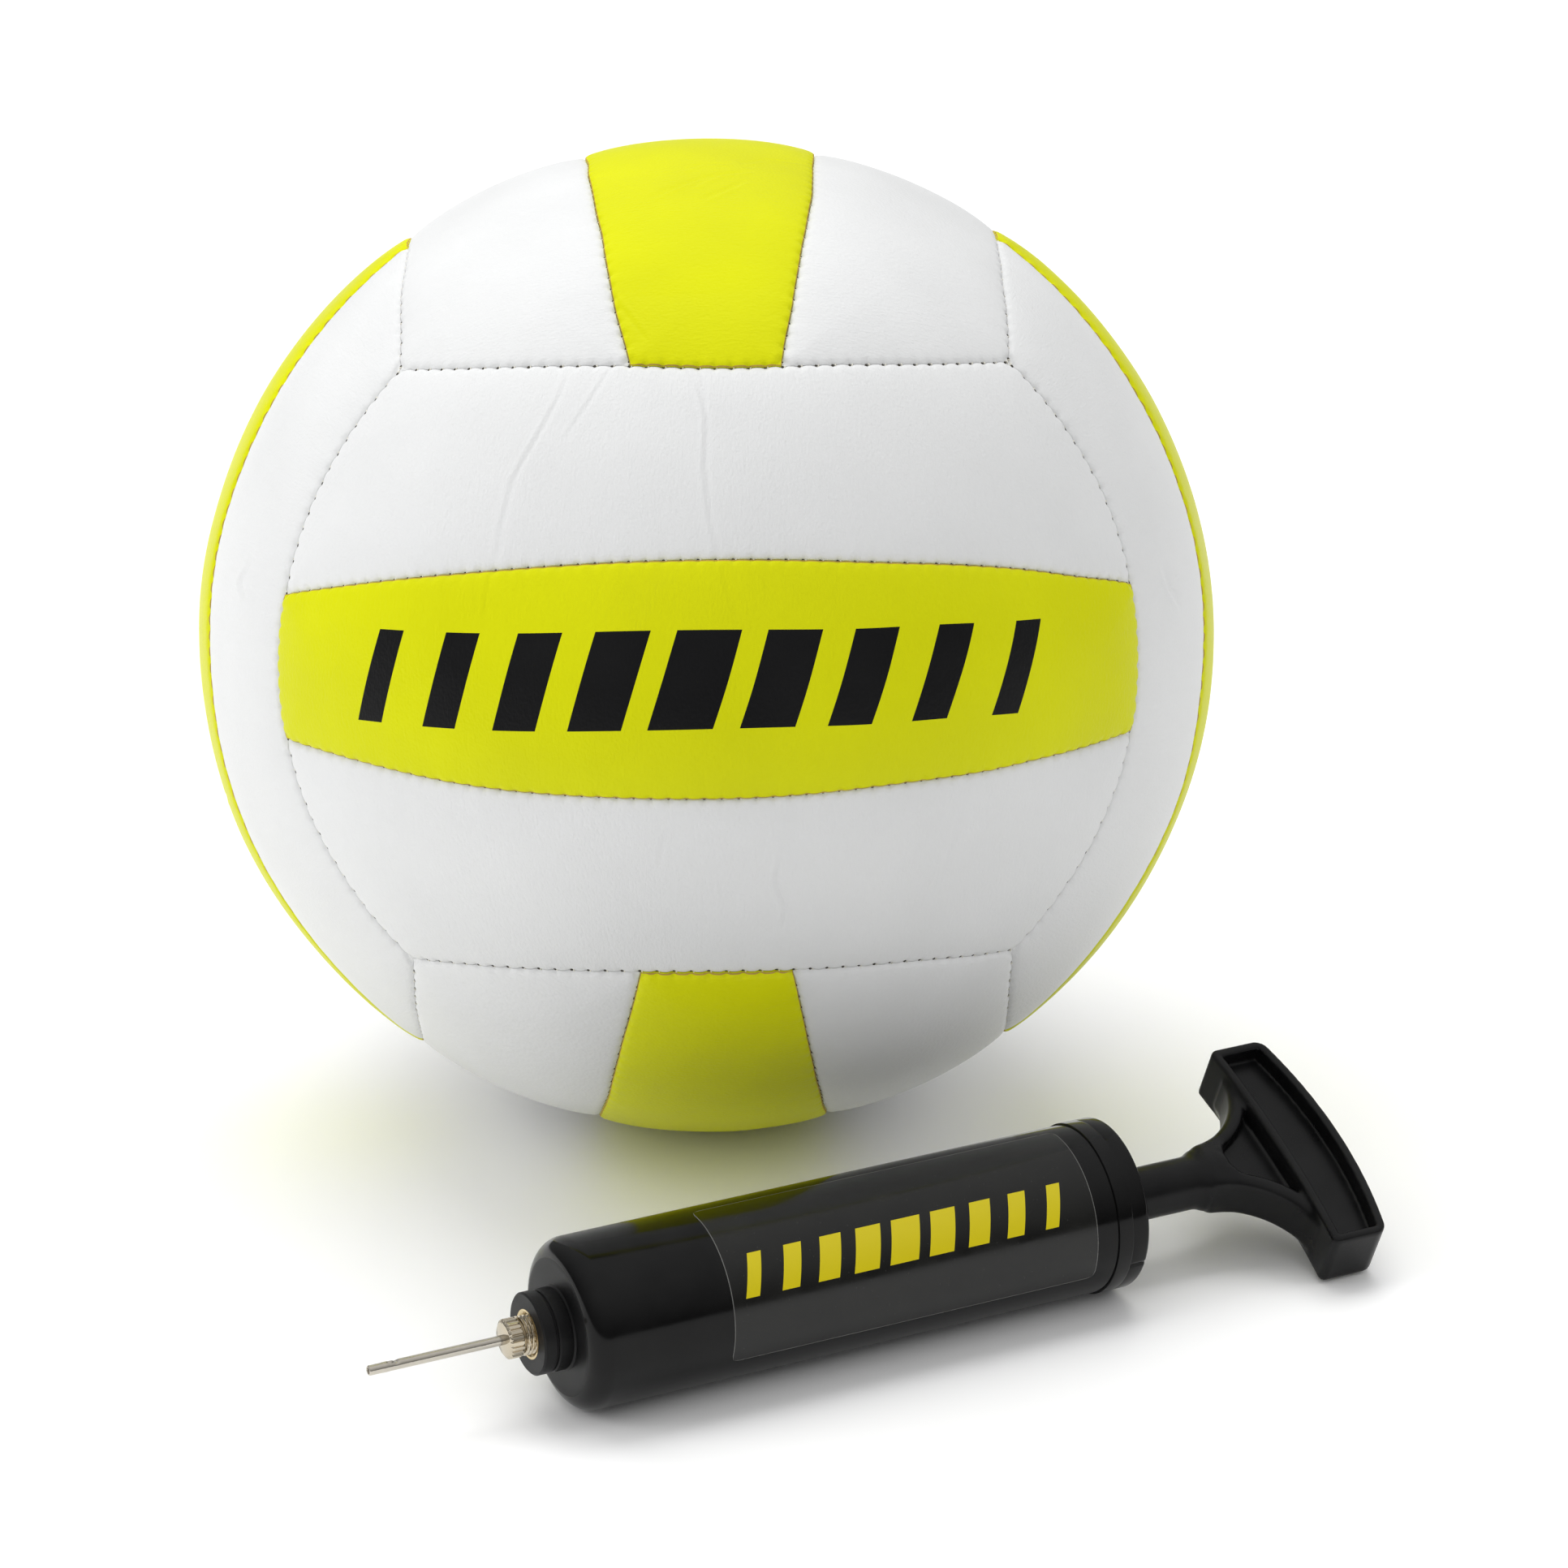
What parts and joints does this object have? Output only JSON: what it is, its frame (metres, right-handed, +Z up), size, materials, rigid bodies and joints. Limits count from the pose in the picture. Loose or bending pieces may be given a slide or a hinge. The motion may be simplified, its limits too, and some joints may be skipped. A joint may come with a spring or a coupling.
{
  "type": "volleyball with hand pump",
  "caption": "Panelled indoor volleyball with a T-handled hand pump and a threaded inflating needle lying in front of it.",
  "frame": {"origin": "the point where the ball touches the floor, under the ball's centre", "axes": "+Z up; the pump lies on the -Y side, in front of the ball, with its needle towards -X and its handle towards +X"},
  "size_m": [0.2433, 0.2746, 0.21],
  "materials": {
    "cover_white": "soft grained synthetic leather",
    "cover_yellow": "soft grained synthetic leather",
    "thread": "waxed stitching thread",
    "lining_cloth": "woven cloth",
    "bladder_rubber": "smooth butyl rubber",
    "valve_rubber": "moulded rubber",
    "barrel_plastic": "glossy moulded plastic",
    "insert_brass": "turned brass",
    "label_film": "clear gloss film with a plain yellow pattern",
    "piston_plastic": "natural moulded plastic",
    "seal_rubber": "moulded rubber",
    "rod_plastic": "semi-gloss moulded plastic",
    "handle_plastic": "satin moulded plastic",
    "plated_brass": "nickel-plated brass",
    "needle_steel": "nickel-plated tube"
  },
  "bodies": {
    "ball": {"panel_front_lower": "cover_white", "panel_front_middle": "cover_yellow", "panel_front_upper": "cover_white", "panel_back_lower": "cover_white", "panel_back_middle": "cover_yellow", "panel_back_upper": "cover_white", "panel_right_rear": "cover_white", "panel_right_middle": "cover_yellow", "panel_right_front": "cover_white", "panel_left_front": "cover_white", "panel_left_middle": "cover_yellow", "panel_left_rear": "cover_white", "panel_top_left": "cover_white", "panel_top_middle": "cover_yellow", "panel_top_right": "cover_white", "panel_bottom_left": "cover_white", "panel_bottom_middle": "cover_yellow", "panel_bottom_right": "cover_white", "seam_thread": "thread", "lining": "lining_cloth", "bladder": "bladder_rubber", "valve": "valve_rubber"},
    "pump": {"barrel": "barrel_plastic", "nozzle_ring": "barrel_plastic", "thread_insert": "insert_brass", "end_cap": "barrel_plastic", "label_film": "label_film"},
    "piston": {"piston_head": "piston_plastic"},
    "sealing_ring": {"piston_ring": "seal_rubber"},
    "handle": {"plunger_rod": "rod_plastic", "handle_grip": "handle_plastic"},
    "needle_seat": {"needle_gasket": "seal_rubber"},
    "needle": {"needle_hub": "plated_brass", "needle_tube": "needle_steel"}
  },
  "joints": [
    {"name": "pump_lift", "type": "slide", "parent": "ball", "child": "pump", "axis": [0.3254, -0.6278, 0.7071], "range_m": [0, 0.1]},
    {"name": "plunger_slide", "type": "slide", "parent": "pump", "child": "piston", "axis": [0.8878, 0.4602, 0], "range_m": [0, 0.098]},
    {"name": "sealing_ring_float", "type": "slide", "parent": "piston", "child": "sealing_ring", "axis": [0.8878, 0.4602, 0], "range_m": [-0.0018, 0]},
    {"name": "handle_turn", "type": "hinge", "parent": "piston", "child": "handle", "pos_m": [0.09522, -0.08689, 0.0175], "axis": [0.8878, 0.4602, 0], "continuous": true},
    {"name": "needle_travel", "type": "slide", "parent": "pump", "child": "needle_seat", "axis": [-0.8878, -0.4602, 0], "range_m": [-0.00198, 0.00317]},
    {"name": "needle_turn", "type": "hinge", "parent": "needle_seat", "child": "needle", "pos_m": [-0.03751, -0.15569, 0.0175], "axis": [-0.8878, -0.4602, 0], "range_deg": [-900, 1440]}
  ],
  "couplings": [
    {"joint": "needle_turn", "follows": "needle_travel", "rad_per_m": 7915.8}
  ]
}
